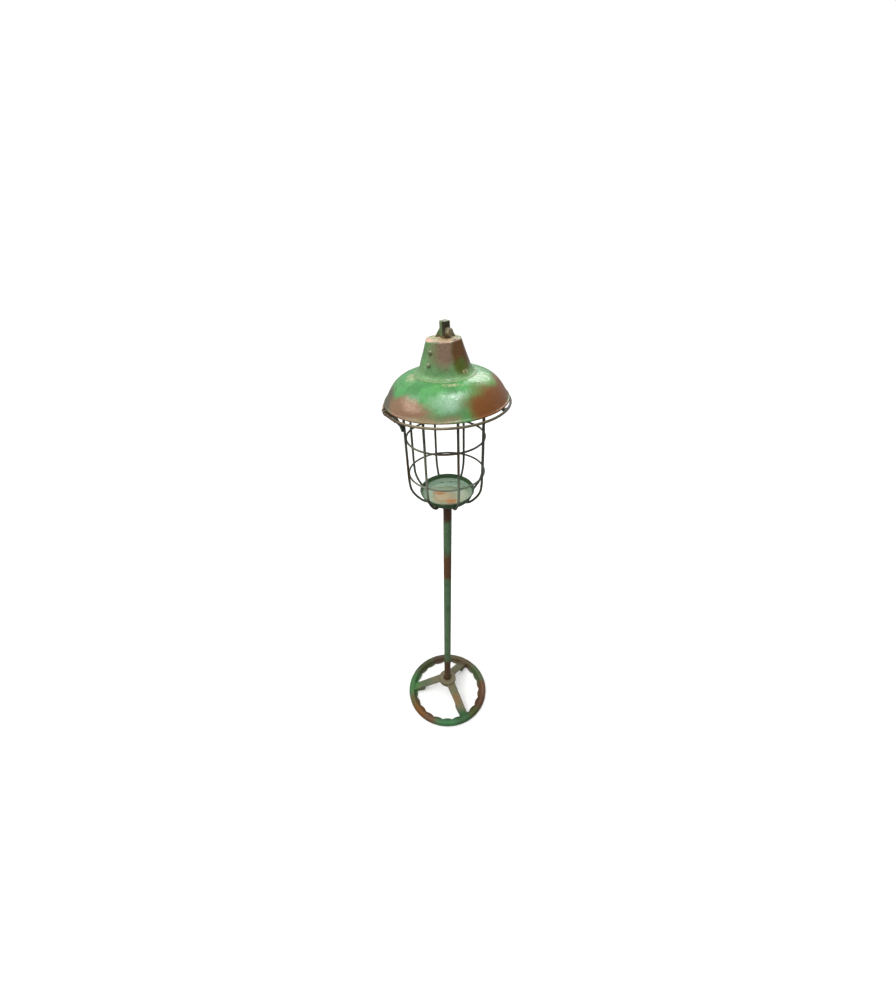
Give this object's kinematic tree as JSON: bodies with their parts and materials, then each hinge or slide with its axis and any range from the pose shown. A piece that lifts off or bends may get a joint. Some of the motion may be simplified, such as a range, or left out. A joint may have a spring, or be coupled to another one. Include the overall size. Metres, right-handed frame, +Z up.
{
  "type": "caged candle floor lantern",
  "caption": "Tall floor lantern with a handwheel base, slim post, candle dish in a wire cage and a hinged metal dome shade.",
  "frame": {"origin": "on the floor, under the middle of the handwheel", "axes": "+Z up along the post; -Y is the front, the side that the view is taken from; +X is to the right of that view"},
  "size_m": [0.25, 0.25, 1.1257],
  "materials": {
    "green_enamel": "glossy lacquered green paint with rust brown wear",
    "cast_wheel": "worn green paint over brown cast iron",
    "wire_paint": "dark grey-green paint, slightly rusted",
    "worn_ring": "tan and grey worn paint",
    "dish_paint": "pale sage green paint with rust stains",
    "fastener_steel": "aged dark steel"
  },
  "bodies": {
    "stand": {"handwheel": "cast_wheel", "hub_washer": "fastener_steel", "hub_locknut": "fastener_steel", "post": "green_enamel", "post_flange": "fastener_steel", "candle_dish": "dish_paint", "cage_wire_1": "wire_paint", "cage_wire_2": "wire_paint", "cage_wire_3": "wire_paint", "cage_wire_4": "wire_paint", "cage_wire_5": "wire_paint", "cage_wire_6": "wire_paint", "cage_wire_7": "wire_paint", "cage_wire_8": "wire_paint", "cage_ring_upper": "wire_paint", "cage_ring_lower": "wire_paint", "cage_top_ring": "wire_paint", "hinge_bracket": "wire_paint", "hinge_pin": "fastener_steel"},
    "lid": {"shade": "green_enamel", "neck": "green_enamel", "neck_bolt_upper": "fastener_steel", "neck_bolt_lower": "fastener_steel", "neck_nut_upper": "fastener_steel", "neck_nut_lower": "fastener_steel", "top_lug": "green_enamel", "lug_screw": "fastener_steel", "lug_washer": "fastener_steel", "skirt_ring": "worn_ring", "shade_clip_1": "wire_paint", "shade_clip_2": "wire_paint", "shade_clip_3": "wire_paint", "hinge_link_front": "worn_ring", "hinge_link_rear": "worn_ring"}
  },
  "joints": [
    {"name": "lid_hinge", "type": "hinge", "parent": "stand", "child": "lid", "pos_m": [-0.09659, -0.02953, 0.962], "axis": [0.2924, -0.9563, 0], "range_deg": [0, 105]}
  ]
}
